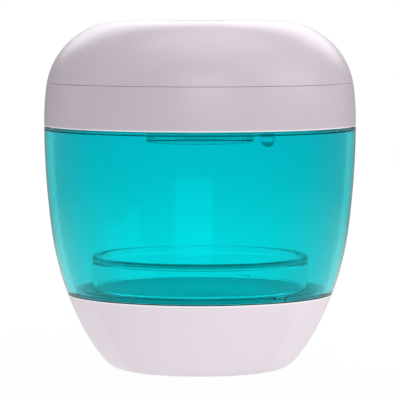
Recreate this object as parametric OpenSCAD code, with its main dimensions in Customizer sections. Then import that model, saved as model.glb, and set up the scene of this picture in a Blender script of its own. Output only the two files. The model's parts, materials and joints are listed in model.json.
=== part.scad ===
// Pacifier sterilizer case: a round ultraviolet box with a lift-off lid, a see-through
// window, a clear stand that lifts out, and a push button on top.
// Millimetres, Z up, standing on the table at z = 0, front towards -Y.

/* [Case] */
// Outside diameter at the widest line, just under the lid
case_d = 80; // [78:0.5:84]
// Height over everything, from the table to the top of the lid
case_h = 89.5; // [88.5:0.5:94]
// Height of the lid, from the seam where it lifts off up to its top
lid_h = 26.9; // [26.6:0.1:28]
// Height of the dome, from its fixed seam with the lid's band up to its top
dome_h = 15.8; // [15.5:0.1:16.2]
// How far the widest line of the outline lies above the lid seam
waist_up = 1.3; // [0.8:0.1:2]
// Height of the base, from the table to its seam with the window
base_h = 19.5; // [17:0.5:22]

/* [Outline arcs] */
// Radius of the long side arc that runs down the window
side_r = 211; // [180:1:260]
// Radius of the arc through the base seam
lower_r = 74.3; // [68:0.1:80]
// Angle at which the lower arc hands over to the heel arc
lower_turn = 28; // [25:0.5:31]
// Radius of the arc that turns in under the base
heel_r = 44.5; // [40:0.5:50]
// Angle at which the heel arc hands over to the bottom corner
heel_turn = 39.9; // [38:0.1:43]
// Radius of the bottom corner
corner_r = 7.7; // [6:0.1:10]
// Radius of the side of the lid above the waist
brow_r = 70; // [60:1:90]
// Radius of the lid's round shoulder
crown_r = 19.4; // [17:0.1:21]

/* [Walls] */
// Wall of the clear window
window_t = 2.2; // [1.8:0.1:2.6]
// Wall of the base cup
base_t = 2.2; // [1.8:0.1:2.6]
// Wall of the dome
dome_t = 2; // [1.6:0.1:2.4]
// Wall of the neck that stands up from the window into the lid
neck_t = 1.4; // [1.2:0.1:1.6]
// Height of that neck above the seam
neck_h = 3.9; // [3.6:0.1:4.4]
// Height of the bead inside the window's mouth
bead_h = 0.9; // [0.7:0.1:1.5]
// Height of the silicone seal that sits on the neck
seal_h = 1.1; // [0.8:0.1:1.3]
// Thickness of the shelf inside the lid band
shelf_t = 1.2; // [1:0.1:1.5]
// Thickness of the chamber floor plate
floor_t = 1.3; // [1:0.1:1.8]
// Height of the gasket line between base and window
gasket_h = 0.3; // [0.2:0.1:0.6]
// Thickness of the satin metal disc on the chamber floor
disc_t = 0.3; // [0.2:0.1:0.5]
// Width of the three keys at the window's foot
key_w = 3.4; // [2.4:0.2:4]
// Height of those keys
key_h = 1.5; // [1:0.1:2]

/* [Clear stand] */
// Outside diameter of the stand
stand_d = 55.7; // [50:0.1:58]
// Height of the stand
stand_h = 8.3; // [6:0.1:12]
// Wall of the stand, an open ring
stand_t = 1.3; // [1:0.1:1.8]
// Height of the thick bead round the stand's rim
rim_h = 1.7; // [1:0.1:2.4]
// Depth of that bead, from the outside in
rim_w = 2.5; // [2:0.1:3.5]

/* [Lamp] */
// Diameter of the lamp's clear cover under the lid
lamp_d = 27.6; // [26.6:0.2:29]
// How far that cover hangs below the ceiling
lamp_drop = 3.9; // [3.5:0.1:4.5]
// Wall of the clear cover
lens_t = 1.2; // [1:0.1:1.5]
// Width of one ultraviolet diode package
diode_w = 3.5; // [3:0.1:3.9]
// Number of ultraviolet diodes
diode_count = 4; // [3:1:5]

/* [Power] */
// Length of the battery cell
cell_l = 38; // [34:1:42]
// Width of the battery cell
cell_w = 28; // [24:1:30]
// Thickness of the battery cell
cell_t = 5.4; // [4.5:0.1:5.6]
// Width of the charging socket's shell
socket_w = 9; // [7.5:0.1:9.2]
// Height of the charging socket's shell
socket_h = 3.2; // [2.6:0.1:3.3]

/* [Button] */
// Diameter of the push button
button_d = 12.8; // [11:0.2:13.6]
// Width of the light ring round the button
light_w = 1.6; // [1.2:0.1:2]
// How far the button travels
button_travel = 0.6; // [0.4:0.1:0.7]

/* [Feet and screws] */
// Outside diameter of the rubber foot ring
foot_d = 36; // [35:0.5:37]
// Width of the foot ring
foot_w = 6; // [5.6:0.1:6.4]
// How far the foot ring stands proud of the base
foot_proud = 0.4; // [0.3:0.1:0.8]
// Thickness of the foot ring
foot_t = 1.4; // [1.2:0.1:1.6]
// Core diameter of every self-tapping screw
screw_d = 2; // [1.8:0.1:2.2]

/* [Fits] */
// Gap on each side between the window's neck and the lid band
neck_gap = 0.3; // [0.2:0.05:0.4]
// Gap between the lid's ceiling and the inside of the neck
ceiling_gap = 0.4; // [0.3:0.05:0.6]
// Shadow gap at the lid seam
seam_gap = 0.15; // [0.1:0.05:0.2]
// Gap at the fixed seam between dome and band
dome_gap = 0.05; // [0.05:0.05:0.15]
// Gap between lapped pieces that are pressed together
lap_gap = 0.1; // [0.05:0.05:0.15]
// Gap round the push button
button_gap = 0.3; // [0.2:0.05:0.4]
// Gap round a screw's core in its pilot hole
pilot_gap = 0.05; // [0.05:0.01:0.1]

/* [Hidden] */
$fn = 160;
case_r = case_d / 2;
reach = case_d;

// The four seams and lines that the rest is set from. The lid keeps its height, so a
// taller case has a taller window.
base_seam_z = base_h;
lid_seam_z = case_h - lid_h;
dome_seam_z = case_h - dome_h;
waist_z = lid_seam_z + waist_up;

// The outline is a chain of arcs that run into each other without a corner. Each arc is
// [radius, angle where it starts, angle where it ends], counted from the waist line.
// The side arc is as long as the height that the arcs below it leave free.
low_part = lower_r * sin(lower_turn) + heel_r * (sin(heel_turn) - sin(lower_turn))
    + corner_r * (1 - sin(heel_turn));
side_turn = asin((waist_z - low_part) / (side_r - lower_r));
brow_turn = asin((case_h - waist_z - crown_r) / (brow_r - crown_r));
low_arcs = [[side_r, 0, side_turn], [lower_r, side_turn, lower_turn],
            [heel_r, lower_turn, heel_turn], [corner_r, heel_turn, 90]];
top_arcs = [[brow_r, 0, brow_turn], [crown_r, brow_turn, 90]];

// Heights, from the table up
base_z = foot_proud;
gasket_z = base_seam_z;
window_z = gasket_z + gasket_h;
floor_top = base_seam_z + floor_t;
stand_z = floor_top + disc_t;
neck_top = lid_seam_z + neck_h;
shelf_z = neck_top + seal_h;
shelf_top = shelf_z + shelf_t;
ceiling_z = lid_seam_z - 0.3;
ceiling_t = 1.5;
ceiling_top = ceiling_z + ceiling_t;
lamp_z = ceiling_z - lamp_drop;
lamp_board_z = ceiling_top + 0.8;
lamp_board_t = 1.2;
diode_h = 1.3;
board_z = dome_seam_z - 0.9;
board_t = 1.2;
board_top = board_z + board_t;
pad_t = 0.8;
cell_z = board_top + pad_t;
dome_inside = case_h - dome_t;
tap_board_t = 1;
tap_board_z = dome_inside - 4.5;
tap_board_top = tap_board_z + tap_board_t;

// Radii, from the axis out
cover_r = lamp_d / 2;
cover_in = cover_r - lens_t;
cover_flange_r = cover_r + 1;
neck_out = case_r - 1.7;
neck_in = neck_out - neck_t;
band_in = neck_out + neck_gap;
band_in_top = case_r - 2.4;
shelf_in = case_r - 11;
ceiling_r = neck_in - ceiling_gap;
skirt_r = band_in_top - lap_gap;
board_r = skirt_r - 2.3;
ceiling_screw_r = case_r - 7.5;
board_screw_r = case_r - 7.2;
lamp_board_r = cover_flange_r + 5.4;
lamp_screw_r = cover_flange_r + 2.8;
sensor_spot = [17.3, -4];
sensor_r = 1.8;
sensor_drop = 3.2;
lamp_screw_turn = 60;
board_screw_turn = 45;
ceiling_screw_turn = 22.5;

// The base: three screws come up through its wells into the chamber floor.
base_floor = 2.4;
foot_seat = base_z + foot_t - foot_proud;
foot_mid = foot_d / 2 - foot_w / 2;
well_top = 10;
post_top = base_seam_z - 4.5;
rim_in = outline_r(base_seam_z, base_t) - 1.2;
plug_r = outline_r(window_z, window_t) - 0.1;
key_turn = -52.5;
key_in = plug_r - 1.3;
button_r = button_d / 2;
light_in = button_r + button_gap;
light_out = light_in + light_w;
button_top = case_h - 0.2;
tap_board_r = light_out + 7.2;
tap_screw_r = light_out + 4.6;
tap_switch_w = 6.4;
tap_switch_h = 1.6;
plunger_r = 1.75;
plunger_h = 0.7;
plunger_z = tap_board_top + 1.3;
rib_turn = 22.5;

// Screw heads, the circle that the diodes stand on, and the battery's and lamp's leads
head_d = 3.8;
head_h = 1.2;
lamp_head_d = 3.4;
board_head_d = 3.6;
board_head_h = 1.1;
small_head_h = 1;
diode_ring_r = 4.4;
lead_d = 1.2;
lead_bend = 2;
// How far a cut runs past the face that it opens
over = 1;

// Parts on the control board: [x, y, length, width, height]
chips = [[-3.5, -24.5, 7, 7, 1.1], [6, -22, 4.4, 4.4, 2], [-11, -22.5, 4, 5, 1],
         [10, 18.5, 6, 4, 3.4]];
resistor = [1, 2, 0.6];
resistor_row = [19.5, 2.4];

// The middle of an arc in a chain; way is -1 down the case from the waist and 1 up.
function arc_mid(arcs, i, way) = i == 0
    ? [case_r - arcs[0][0], waist_z]
    : arc_mid(arcs, i - 1, way)
        + (arcs[i - 1][0] - arcs[i][0]) * [cos(arcs[i][1]), way * sin(arcs[i][1])];
function micron(x) = round(x * 1000) / 1000;
function arc_z(arcs, i, way, inset, turn) =
    micron(arc_mid(arcs, i, way)[1] + way * (arcs[i][0] - inset) * sin(turn));
// Half width of the outline at a height below the waist, that far in from the outside
function arc_r(i, z, inset) = arc_mid(low_arcs, i, -1)[0]
    + sqrt(pow(low_arcs[i][0] - inset, 2) - pow(z - arc_mid(low_arcs, i, -1)[1], 2));
function outline_r(z, inset, i = 0) =
    i == 3 || z >= arc_z(low_arcs, i, -1, inset, low_arcs[i][2])
        ? arc_r(i, z, inset)
        : outline_r(z, inset, i + 1);

// One level slice of the outline, between the two ends of an arc
module arc_slice(arcs, i, way, inset) {
    mid = arc_mid(arcs, i, way);
    core = max(micron(mid[0]), 0);
    ends = [arc_z(arcs, i, way, inset, arcs[i][1]), arc_z(arcs, i, way, inset, arcs[i][2])];
    low = min(ends);
    tall = max(ends) - low;
    intersection() {
        translate(mid) circle(r = arcs[i][0] - inset);
        translate([core, low]) square([reach, tall]);
    }
    if (core > 0) translate([0, low]) square([core, tall]);
}

// Half of the whole outline, that far in from the outside
module outline(inset = 0) {
    for (i = [0:3]) arc_slice(low_arcs, i, -1, inset);
    for (i = [0:1]) arc_slice(top_arcs, i, 1, inset);
}

module ring(inner, outer, low, high) {
    translate([inner, low]) square([outer - inner, high - low]);
}

module spin() { rotate_extrude() children(); }

// A ring of the outline between two heights, from the outside in to a wall or a radius
module outer_ring(low, high, inner) {
    intersection() {
        outline();
        ring(inner, reach, low, high);
    }
}

module around(count, radius, turn = 0) {
    for (i = [0:count - 1]) rotate([0, 0, turn + i * 360 / count])
        translate([radius, 0, 0]) children();
}

// A pan head screw that points down, its head's underside at z = 0
module screw(long, wide = head_d, high = head_h) {
    translate([0, 0, -long]) cylinder(d = screw_d, h = long);
    difference() {
        cylinder(d = wide, h = high);
        for (turn = [0, 90]) rotate([0, 0, turn])
            translate([-1.1, -0.25, high - 0.7]) cube([2.2, 0.5, 1]);
    }
}

// A hollow post that a screw cuts its thread in
module post(low, high, pilot_low, pilot_high, d = 5) {
    translate([0, 0, low]) difference() {
        cylinder(d = d, h = high - low);
        translate([0, 0, pilot_low - low])
            cylinder(d = screw_d + 2 * pilot_gap, h = pilot_high - pilot_low);
    }
}

module pilot(low, high) {
    translate([0, 0, low]) cylinder(d = screw_d + 2 * pilot_gap, h = high - low);
}

module clearance(low, high) {
    translate([0, 0, low]) cylinder(d = screw_d + 0.5, h = high - low);
}

module round_plate(size, corner) {
    x = size[0] / 2 - corner;
    y = size[1] / 2 - corner;
    square([size[0], 2 * y], center = true);
    square([2 * x, size[1]], center = true);
    for (i = [-1, 1], j = [-1, 1]) translate([i * x, j * y]) circle(r = corner);
}

module base_cup() color("MistyRose") difference() {
    union() {
        spin() difference() {
            outer_ring(base_z, base_seam_z, 0);
            intersection() {
                outline(base_t);
                ring(0, rim_in, base_z + base_floor, base_seam_z + 1);
            }
        }
        around(3, foot_mid, 30) translate([0, 0, base_z + 1])
            cylinder(d = 7.4, h = post_top - base_z - 1);
        base_ribs();
    }
    spin() ring(foot_mid - foot_w / 2, foot_mid + foot_w / 2, -1, foot_seat);
    around(3, foot_mid, 30) {
        translate([0, 0, 0]) cylinder(d = 4.6, h = well_top);
        clearance(well_top - 1, post_top + 1);
    }
}

// Low ribs that tie the screw posts to the middle of the cup's wall
module base_ribs() {
    low = base_z + 4.6;
    high = base_z + 9;
    steps = [low, (low * 2 + high) / 3, (low + high * 2) / 3, high];
    around(3, 0, 30) translate([0, 0.7, 0]) rotate([90, 0, 0]) linear_extrude(1.4)
        polygon(concat([[foot_mid + 2.8, high], [foot_mid + 2.8, low]],
                       [for (z = steps) [outline_r(z, base_t / 2), z]]));
}

module foot_ring() color("Thistle") spin() difference() {
    ring(foot_mid - foot_w / 2 + 0.1, foot_mid + foot_w / 2 - 0.1, 0, foot_seat);
    translate([foot_mid + foot_w / 2 - 0.1, 0]) rotate(45) square(0.4, center = true);
    translate([foot_mid - foot_w / 2 + 0.1, 0]) rotate(45) square(0.4, center = true);
}

module base_screws() color("Silver") around(3, foot_mid, 30)
    translate([0, 0, well_top]) mirror([0, 0, 1]) screw(base_seam_z - well_top - 1.4);

module base_gasket() color("DimGray") spin()
    ring(plug_r + 0.1, outline_r(gasket_z, 0.15), gasket_z, window_z);

module chamber_floor() color("Gainsboro") difference() {
    union() {
        spin() {
            ring(0, plug_r, base_seam_z, floor_top);
            ring(rim_in - 1.4, rim_in - lap_gap, base_seam_z - 3, base_seam_z + 0.1);
        }
        around(3, foot_mid, 30) translate([0, 0, post_top])
            cylinder(d = 6, h = base_seam_z - post_top + 0.1);
        for (i = [0:5]) rotate([0, 0, 60 * i])
            translate([foot_mid * 0.5, -0.6, base_seam_z - 2]) cube([rim_in - 1 - foot_mid * 0.5, 1.2, 2.1]);
    }
    around(3, foot_mid, 30) pilot(post_top - 1, base_seam_z - 0.8);
    around(3, key_in, key_turn) translate([0, -key_w / 2 - 0.2, base_seam_z - 0.1])
        cube([4, key_w + 0.4, floor_t + 1]);
}

module floor_disc() color("LightSteelBlue") translate([0, 0, floor_top])
    cylinder(r = key_in - 0.2, h = disc_t);

module window() color("Turquoise", 0.6) difference() {
    union() {
        spin() {
            difference() {
                outer_ring(window_z, lid_seam_z - seam_gap, 0);
                intersection() {
                    outline(window_t);
                    ring(0, reach, window_z - 1, lid_seam_z - seam_gap - bead_h);
                }
                ring(0, neck_in, lid_seam_z - seam_gap - bead_h - 0.01, lid_seam_z);
            }
            ring(neck_in, neck_out, lid_seam_z - seam_gap - 0.5, neck_top - 0.3);
            ring(neck_in, neck_out - 0.3, neck_top - 0.4, neck_top);
        }
        around(3, key_in + 0.1, key_turn) translate([0, -key_w / 2, window_z])
            cube([2, key_w, key_h]);
    }
}

// An open ring with a bead round its rim, which stands on the floor disc
module pacifier_stand() color("PaleTurquoise", 0.5) translate([0, 0, stand_z]) spin() {
    stand_r = stand_d / 2;
    ring(stand_r - stand_t, stand_r, 0, stand_h - 0.4);
    ring(stand_r - rim_w, stand_r, stand_h - rim_h, stand_h - 0.4);
    ring(stand_r - rim_w + 0.4, stand_r - 0.4, stand_h - 0.5, stand_h);
    for (x = [stand_r - rim_w + 0.4, stand_r - 0.4]) translate([x, stand_h - 0.4]) circle(r = 0.4);
}

module lid_band() color("Thistle") difference() {
    union() {
        spin() {
            outer_ring(lid_seam_z, shelf_z, band_in);
            outer_ring(shelf_z, shelf_top, shelf_in);
            outer_ring(shelf_top, dome_seam_z, band_in_top);
        }
        around(4, board_screw_r, board_screw_turn)
            post(shelf_top - 0.1, board_z, shelf_top + 0.6, board_z + 1);
    }
    around(4, ceiling_screw_r, ceiling_screw_turn) clearance(shelf_z - 1, shelf_top + 1);
    socket_hole(socket_w + 0.8, socket_h + 0.8, case_r - 6);
    around(4, 0, 45) snap(0.1);
}

// The charging socket's opening through the back
module socket_hole(wide, tall, from) {
    translate([0, from, board_z - socket_h / 2]) rotate([-90, 0, 0]) linear_extrude(case_r)
        round_plate([wide, tall], tall * 0.45);
}

// A snap that clicks the dome's skirt into the band, or the pocket for it
module snap(extra) {
    rotate([0, 0, -12 - extra * 2]) rotate_extrude(angle = 24 + extra * 4) polygon([
        [skirt_r - 0.7, board_z - 2.4 - extra], [skirt_r + 0.4, board_z - 1.8 - extra],
        [skirt_r + 0.4, board_z - 1.4 + extra], [skirt_r - 0.7, board_z - 0.8 + extra]]);
}

module lid_seal() color("WhiteSmoke") spin() {
    ring(neck_in + 0.1, band_in - 0.05, neck_top + 0.3, shelf_z);
    ring(neck_in + 0.3, neck_in + 0.9, neck_top, neck_top + 0.4);
}

module ceiling_plate() color("White") difference() {
    union() {
        spin() {
            ring(0, ceiling_r, ceiling_z, ceiling_top);
            ring(ceiling_r - 1.4, ceiling_r, ceiling_z, shelf_z);
        }
        around(4, ceiling_screw_r, ceiling_screw_turn)
            post(ceiling_top - 0.1, shelf_z, ceiling_top + 0.5, shelf_z + 1);
        around(3, lamp_screw_r, lamp_screw_turn) translate([0, 0, ceiling_top - 0.1])
            cylinder(d = 4.4, h = lamp_board_z - ceiling_top + 0.1);
        around(8, lamp_board_r + 1, 0) translate([0, -0.6, ceiling_top - 0.1])
            cube([ceiling_r - lamp_board_r - 1.8, 1.2, 1.9]);
    }
    translate([0, 0, ceiling_z - over]) cylinder(r = cover_r + lap_gap, h = ceiling_t + 2 * over);
    around(3, lamp_screw_r, lamp_screw_turn) pilot(ceiling_z + 0.6, lamp_board_z + 1);
    translate(sensor_spot) translate([0, 0, ceiling_z - over])
        cylinder(r = sensor_r + lap_gap, h = ceiling_t + 2 * over);
}

module ceiling_screws() color("Silver") around(4, ceiling_screw_r, ceiling_screw_turn)
    translate([0, 0, shelf_top]) screw(shelf_top - ceiling_top - 0.8);

// A clear cup that hangs through the ceiling from its flange, under the lamp board
module lamp_lens() color("Azure", 0.6) spin() {
    ring(0, cover_r, lamp_z, lamp_z + lens_t);
    ring(cover_in, cover_r, lamp_z, lamp_board_z);
    ring(cover_in, cover_flange_r, ceiling_top, lamp_board_z);
}

module lamp_reflector() color("Silver") spin() polygon([
    [cover_in - 0.9, ceiling_z + 0.2], [cover_in - lap_gap, ceiling_z + 0.2],
    [cover_in - lap_gap, lamp_board_z - 0.1], [cover_in - 3.7, lamp_board_z - 0.1]]);

module lamp_board() color("SeaGreen") difference() {
    translate([0, 0, lamp_board_z]) cylinder(r = lamp_board_r, h = lamp_board_t);
    around(3, lamp_screw_r, lamp_screw_turn) clearance(lamp_board_z - 1, lamp_board_z + 3);
}

module lamp_screws() color("Silver") around(3, lamp_screw_r, lamp_screw_turn)
    translate([0, 0, lamp_board_z + lamp_board_t])
        screw(lamp_board_z + lamp_board_t - ceiling_z - 0.8, lamp_head_d, small_head_h);

module uv_diodes() color("Gold") around(diode_count, diode_ring_r, 45) {
    translate([-diode_w / 2, -diode_w / 2, lamp_board_z - diode_h + 0.4])
        cube([diode_w, diode_w, diode_h - 0.4]);
    translate([0, 0, lamp_board_z - diode_h]) cylinder(d = diode_w * 0.7, h = 0.5);
}

module sensor_lens() color("Azure", 0.7) translate(sensor_spot) {
    translate([0, 0, ceiling_top]) cylinder(r = sensor_r + 0.6, h = 0.3);
    translate([0, 0, ceiling_z - sensor_drop]) cylinder(r = sensor_r, h = ceiling_t + sensor_drop + 0.1);
    translate([0, 0, ceiling_z - sensor_drop]) sphere(r = sensor_r);
}

module lid_sensor() color("DimGray") translate(sensor_spot)
    translate([-1.3, -1, ceiling_top + 0.3]) cube([2.6, 2, 0.5]);

module lamp_leads() color("Firebrick") for (x = [-1, 1]) translate([x, 9, lamp_board_z + lamp_board_t])
    cylinder(d = lead_d, h = board_z - lamp_board_z - lamp_board_t);

module control_board() color("SeaGreen") difference() {
    translate([0, 0, board_z]) cylinder(r = board_r, h = board_t);
    around(4, board_screw_r, board_screw_turn) clearance(board_z - 1, board_top + 1);
    for (y = [-board_r - 2, board_r - 1.2]) translate([-8, y, board_z - 1]) cube([16, 3.2, board_t + 2]);
}

module board_screws() color("Silver") around(4, board_screw_r, board_screw_turn)
    translate([0, 0, board_top]) screw(board_top - shelf_top - 0.9, board_head_d, board_head_h);

module board_chips() color("DimGray") translate([0, 0, board_top]) {
    for (chip = chips) translate([chip[0], chip[1], 0]) cube([chip[2], chip[3], chip[4]]);
    for (i = [-2:2]) translate([i * resistor_row[1] - resistor[0] / 2, resistor_row[0], 0])
        cube(resistor);
}

module charging_socket() color("Silver") difference() {
    translate([0, case_r - 8.6, board_z - socket_h / 2]) rotate([-90, 0, 0])
        linear_extrude(7.4) round_plate([socket_w, socket_h], socket_h * 0.42);
    difference() {
        translate([0, case_r - 7, board_z - socket_h / 2]) rotate([-90, 0, 0])
            linear_extrude(8) round_plate([socket_w - 0.7, socket_h - 0.7], (socket_h - 0.7) * 0.42);
        translate([0, case_r - 7.1, board_z - socket_h / 2]) rotate([-90, 0, 0])
            linear_extrude(5) round_plate([socket_w - 2.2, 0.7], 0.3);
    }
}

module battery_pad() color("White") translate([0, 0, board_top + pad_t / 2])
    cube([cell_l - 4, cell_w - 4, pad_t], center = true);

module battery_cell() color("LightSkyBlue") translate([0, 0, cell_z]) {
    translate([-cell_l / 2, -cell_w / 2 + cell_t / 2, cell_t / 2]) rotate([0, 90, 0])
        cylinder(d = cell_t, h = cell_l);
    translate([-cell_l / 2, cell_w / 2 - cell_t / 2, cell_t / 2]) rotate([0, 90, 0])
        cylinder(d = cell_t, h = cell_l);
    translate([-cell_l / 2, -cell_w / 2 + cell_t / 2, 0]) cube([cell_l, cell_w - cell_t, cell_t]);
}

module battery_leads() color("Firebrick") for (y = [-1.5, 1.5])
    translate([cell_l / 2, y, cell_z + cell_t / 2]) {
        translate([lead_bend, 0, -lead_bend]) rotate([90, 0, 0]) rotate_extrude(angle = 90)
            translate([lead_bend, 0]) circle(d = lead_d);
        rotate([0, 90, 0]) cylinder(d = lead_d, h = lead_bend);
        translate([2 * lead_bend, 0, board_top - cell_z - cell_t / 2])
            cylinder(d = lead_d, h = cell_z + cell_t / 2 - board_top - lead_bend);
    }

module button_board() color("SeaGreen") difference() {
    translate([0, 0, tap_board_z]) cylinder(r = tap_board_r, h = tap_board_t);
    around(2, tap_screw_r) clearance(tap_board_z - 1, tap_board_top + 1);
}

module button_board_screws() color("Silver") around(2, tap_screw_r)
    translate([0, 0, tap_board_z]) mirror([0, 0, 1])
        screw(dome_inside - tap_board_z - 0.9, board_head_d, small_head_h);

module tap_switch() color("DimGray") difference() {
    translate([-tap_switch_w / 2, -tap_switch_w / 2, tap_board_top])
        cube([tap_switch_w, tap_switch_w, tap_switch_h]);
    translate([0, 0, plunger_z - button_travel - 0.2]) cylinder(r = plunger_r + lap_gap, h = 3);
}

module status_diodes() color("WhiteSmoke") around(4, (light_in + light_out) / 2 + 0.4, 45)
    translate([-0.8, -0.5, tap_board_top]) cube([1.6, 1, 0.7]);

module light_ring() color("WhiteSmoke") spin() {
    ring(light_in, light_out, dome_inside, case_h - 0.1);
    ring(light_in + 1.2, light_out + 1.6, dome_inside - 0.8, dome_inside);
    ring(light_in + 1.2, light_out + 0.2, tap_board_top + 0.8, dome_inside - 0.7);
}

module top_cover() color("Thistle") difference() {
    union() {
        spin() {
            difference() {
                outer_ring(dome_seam_z + dome_gap, reach + case_h, 0);
                outline(dome_t);
            }
            ring(skirt_r - 1.4, skirt_r, board_z - 3, dome_seam_z + 1.9);
        }
        around(2, tap_screw_r)
            post(tap_board_top, dome_inside + 0.1, tap_board_top - 1, dome_inside - 0.5, 4.4);
        around(4, 0, 45) snap(0);
        crown_ribs();
    }
    translate([0, 0, dome_inside - 1]) cylinder(r = light_out + 0.1, h = dome_t + 2);
    socket_hole(socket_w + 1.4, socket_h + 1.4, case_r - 6);
}

// Gussets under the shoulder of the dome
module crown_ribs() {
    intersection() {
        spin() intersection() {
            outline(dome_t - 0.2);
            ring(case_r - 13, reach, board_top + 4.5, dome_inside - 4);
        }
        around(8, 0, rib_turn) translate([0, -0.6, 0]) cube([reach, 1.2, case_h]);
    }
}

module power_button() color("White") spin() difference() {
    union() {
        ring(0, button_r, dome_inside - 0.6, button_top - 0.4);
        ring(0, button_r - 0.4, button_top - 0.5, button_top);
        translate([button_r - 0.4, button_top - 0.4]) circle(r = 0.4);
        ring(0, button_r + 1, dome_inside - 0.8, dome_inside - 0.1);
        ring(0, 1.6, plunger_z + plunger_h, dome_inside);
    }
    ring(1.7, button_r - 1.2, dome_inside - 1, button_top - 1.1);
}

module switch_plunger() color("DimGray") translate([0, 0, plunger_z])
    cylinder(r = plunger_r, h = plunger_h);

base_cup();
foot_ring();
base_screws();
base_gasket();
chamber_floor();
floor_disc();
window();
pacifier_stand();
lid_band();
lid_seal();
ceiling_plate();
ceiling_screws();
lamp_lens();
lamp_reflector();
lamp_board();
lamp_screws();
uv_diodes();
sensor_lens();
lid_sensor();
lamp_leads();
control_board();
board_screws();
board_chips();
charging_socket();
battery_pad();
battery_cell();
battery_leads();
button_board();
button_board_screws();
tap_switch();
status_diodes();
light_ring();
top_cover();
power_button();
switch_plunger();
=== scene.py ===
# Pacifier sterilizer case, dressed for a studio picture.
# Lengths are in millimetres, and only the studio's are in metres. +Z is up and -Y is the front.
import bpy
import bmesh
import json
from math import sin, cos, pi, radians, degrees, asin, hypot
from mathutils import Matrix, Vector


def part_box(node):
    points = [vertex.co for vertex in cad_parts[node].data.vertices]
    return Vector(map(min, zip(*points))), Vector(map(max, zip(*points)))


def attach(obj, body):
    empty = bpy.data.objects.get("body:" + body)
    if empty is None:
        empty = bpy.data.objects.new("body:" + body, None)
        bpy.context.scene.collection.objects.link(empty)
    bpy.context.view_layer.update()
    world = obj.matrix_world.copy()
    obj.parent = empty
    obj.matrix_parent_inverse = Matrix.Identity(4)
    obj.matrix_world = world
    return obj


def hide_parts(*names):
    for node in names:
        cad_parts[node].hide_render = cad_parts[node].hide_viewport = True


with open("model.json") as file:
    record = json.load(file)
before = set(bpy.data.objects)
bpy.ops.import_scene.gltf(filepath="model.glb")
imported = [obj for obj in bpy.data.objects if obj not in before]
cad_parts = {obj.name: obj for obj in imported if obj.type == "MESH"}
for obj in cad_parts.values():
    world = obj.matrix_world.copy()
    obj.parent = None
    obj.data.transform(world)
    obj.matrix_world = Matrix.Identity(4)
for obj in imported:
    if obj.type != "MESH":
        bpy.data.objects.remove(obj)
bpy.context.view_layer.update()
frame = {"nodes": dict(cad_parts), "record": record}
mm = 0.001

# The camera stands 76 cm in front of the case's middle, a little above the lid.
studioCamera = {"away": 756.8, "height": 95.9, "aimHeight": 43.4, "lens": 265.2, "sensor": 36,
                "seesTo": 20000}


def placeCamera(shot):
    data = bpy.data.cameras.new("studioCamera")
    data.lens = shot["lens"]
    data.sensor_width = shot["sensor"]
    data.clip_end = shot["seesTo"] * mm
    camera = bpy.data.objects.new("studioCamera", data)
    bpy.context.scene.collection.objects.link(camera)
    camera.location = (0, -shot["away"] * mm, shot["height"] * mm)
    aim = Vector((0, 0, shot["aimHeight"] * mm)) - camera.location
    camera.rotation_euler = aim.to_track_quat("-Z", "Y").to_euler()
    bpy.context.scene.camera = camera


placeCamera(studioCamera)
print("camera placed")


# Outer radius, underside and top of a packed ring or disc, in millimetres
def span(node):
    low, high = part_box(node)
    return high.x / mm, low.z / mm, high.z / mm


# The outline of the case is six arcs that run into each other, four below the waist and two above.
# A turn is where one arc ends, in degrees from the waist, where the wall stands upright.
caseOutline = {
    "halfWidth": 40.0, "waist": 63.9, "height": 89.5, "sideR": 211.0, "lowerR": 74.3, "lowerTurn": 28.0,
    "heelR": 44.5, "heelTurn": 39.9, "cornerR": 7.7, "browR": 70.0, "crownR": 19.4,
}


def outlineArcs(o):
    lowerSin, heelSin = sin(radians(o["lowerTurn"])), sin(radians(o["heelTurn"]))
    lowPart = o["lowerR"] * lowerSin + o["heelR"] * (heelSin - lowerSin) + o["cornerR"] * (1 - heelSin)
    sideTurn = degrees(asin((o["waist"] - lowPart) / (o["sideR"] - o["lowerR"])))
    browTurn = degrees(asin((o["height"] - o["waist"] - o["crownR"]) / (o["browR"] - o["crownR"])))
    below = [(o["sideR"], 0, sideTurn), (o["lowerR"], sideTurn, o["lowerTurn"]),
             (o["heelR"], o["lowerTurn"], o["heelTurn"]), (o["cornerR"], o["heelTurn"], 90)]
    above = [(o["browR"], 0, browTurn), (o["crownR"], browTurn, 90)]
    arcs = []
    for chain, way in ((below, -1), (above, 1)):
        midR, midZ = o["halfWidth"] - chain[0][0], o["waist"]
        for i, (radius, start, end) in enumerate(chain):
            if i:
                step = chain[i - 1][0] - radius
                midR += step * cos(radians(start))
                midZ += way * step * sin(radians(start))
            arcs.append((midR, midZ, radius, start, end, way))
    return arcs


# A stride is the longest step along the outline and a turn its largest angle. Points closer than
# near count as one, and a sliver is the short stretch that outlineAt reads.
outlineSteps = {"stride": 1.6, "turn": 2, "fewest": 3, "near": 1e-4, "slack": 1e-6, "sliver": 0.01}


def apart(a, b):
    return hypot(a[0] - b[0], a[1] - b[1])


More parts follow.
